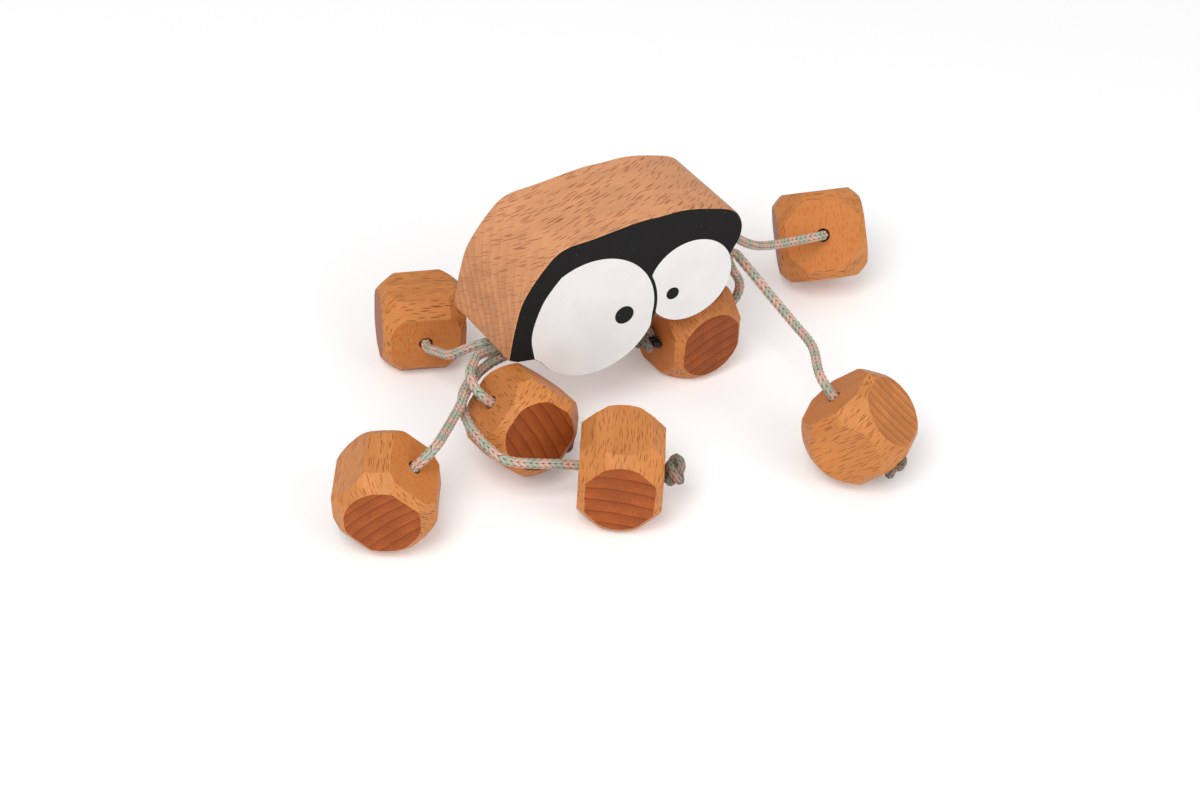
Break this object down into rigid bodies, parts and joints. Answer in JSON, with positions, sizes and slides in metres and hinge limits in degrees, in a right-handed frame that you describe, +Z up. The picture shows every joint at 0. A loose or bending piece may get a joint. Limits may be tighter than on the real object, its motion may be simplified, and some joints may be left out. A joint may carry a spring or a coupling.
{
  "type": "wooden toy spider",
  "caption": "Wooden toy spider: a painted face block with cords drawn through it, each loose end carrying a turning wooden foot held on by a knot.",
  "frame": {"origin": "on the floor under the middle of the box around the body and the feet", "axes": "+X to the right along the face as seen from the front, -Y the way the face looks, +Z up"},
  "size_m": [0.2155, 0.1426, 0.0719],
  "materials": {
    "body_beech": "bare fine-sanded beech on back and sides, the front face painted matt black with two white eyes",
    "foot_beech": "oiled beech blocks, sanded, end grain darker and redder than the sides",
    "cord_braid": "round braid of pale grey-green and pale pink yarn"
  },
  "bodies": {
    "body": {"body_block": "body_beech", "through_cord_1_8": "cord_braid", "through_cord_3_6": "cord_braid", "through_cord_2_7": "cord_braid", "through_cord_4_5": "cord_braid"},
    "leg_1": {"leg_cord_1": "cord_braid", "knot_1": "cord_braid"},
    "foot_1": {"foot_1": "foot_beech"},
    "leg_2": {"leg_cord_2": "cord_braid", "knot_2": "cord_braid"},
    "foot_2": {"foot_2": "foot_beech"},
    "leg_3": {"leg_cord_3": "cord_braid", "knot_3": "cord_braid"},
    "foot_3": {"foot_3": "foot_beech"},
    "leg_4": {"leg_cord_4": "cord_braid", "knot_4": "cord_braid"},
    "foot_4": {"foot_4": "foot_beech"},
    "leg_5": {"leg_cord_5": "cord_braid", "knot_5": "cord_braid"},
    "foot_5": {"foot_5": "foot_beech"},
    "leg_6": {"leg_cord_6": "cord_braid", "knot_6": "cord_braid"},
    "foot_6": {"foot_6": "foot_beech"},
    "leg_7": {"leg_cord_7": "cord_braid", "knot_7": "cord_braid"},
    "foot_7": {"foot_7": "foot_beech"},
    "leg_8": {"leg_cord_8": "cord_braid", "knot_8": "cord_braid"},
    "foot_8": {"foot_8": "foot_beech"}
  },
  "joints": [
    {"name": "swing_1", "type": "hinge", "parent": "body", "child": "leg_1", "pos_m": [-0.0416, 0.0178, 0.0258], "axis": [0, 0, 1], "range_deg": [-35, 55]},
    {"name": "spin_1", "type": "hinge", "parent": "leg_1", "child": "foot_1", "pos_m": [-0.0463, 0.0516, 0.01315], "axis": [0.2756, 0.9613, 0], "continuous": true},
    {"name": "swing_2", "type": "hinge", "parent": "body", "child": "leg_2", "pos_m": [-0.0424, 0.0098, 0.0242], "axis": [0, 0, 1], "range_deg": [-60, 3]},
    {"name": "spin_2", "type": "hinge", "parent": "leg_2", "child": "foot_2", "pos_m": [-0.0906, -0.0229, 0.01552], "axis": [-0.5492, 0.3392, -0.7638], "continuous": true},
    {"name": "swing_3", "type": "hinge", "parent": "body", "child": "leg_3", "pos_m": [-0.042, 0.0112, 0.0276], "axis": [0, 0, 1], "range_deg": [-2, 2]},
    {"name": "spin_3", "type": "hinge", "parent": "leg_3", "child": "foot_3", "pos_m": [-0.0412, -0.0102, 0.01666], "axis": [0.7541, -0.188, -0.6293], "continuous": true},
    {"name": "swing_4", "type": "hinge", "parent": "body", "child": "leg_4", "pos_m": [-0.0593, -0.0125, 0.0212], "axis": [0, 0, 1], "range_deg": [-60, 2]},
    {"name": "spin_4", "type": "hinge", "parent": "leg_4", "child": "foot_4", "pos_m": [-0.023, -0.0395, 0.0143], "axis": [0.8738, -0.4863, 0], "continuous": true},
    {"name": "swing_5", "type": "hinge", "parent": "body", "child": "leg_5", "pos_m": [0.0414, 0.017, 0.04], "axis": [0, 0, 1], "range_deg": [-18, 60]},
    {"name": "spin_5", "type": "hinge", "parent": "leg_5", "child": "foot_5", "pos_m": [0.0294, 0.0168, 0.01375], "axis": [-0.9936, -0.1132, 0], "continuous": true},
    {"name": "swing_6", "type": "hinge", "parent": "body", "child": "leg_6", "pos_m": [0.0418, 0.0134, 0.0454], "axis": [0, 0, 1], "range_deg": [-55, 35]},
    {"name": "spin_6", "type": "hinge", "parent": "leg_6", "child": "foot_6", "pos_m": [0.0901, 0.0377, 0.0177], "axis": [0.3892, 0.732, -0.5592], "continuous": true},
    {"name": "swing_7", "type": "hinge", "parent": "body", "child": "leg_7", "pos_m": [0.041, 0.0098, 0.0414], "axis": [0, 0, 1], "range_deg": [-28, 60]},
    {"name": "spin_7", "type": "hinge", "parent": "leg_7", "child": "foot_7", "pos_m": [0.0499, -0.0536, 0.01696], "axis": [0.5, -0.5, -0.7071], "continuous": true},
    {"name": "swing_8", "type": "hinge", "parent": "body", "child": "leg_8", "pos_m": [0.04, 0.0194, 0.0454], "axis": [0, 0, 1], "range_deg": [-50, 16]},
    {"name": "spin_8", "type": "hinge", "parent": "leg_8", "child": "foot_8", "pos_m": [0.02, 0.054, 0.0135], "axis": [-0.766, 0.6428, 0], "continuous": true}
  ]
}
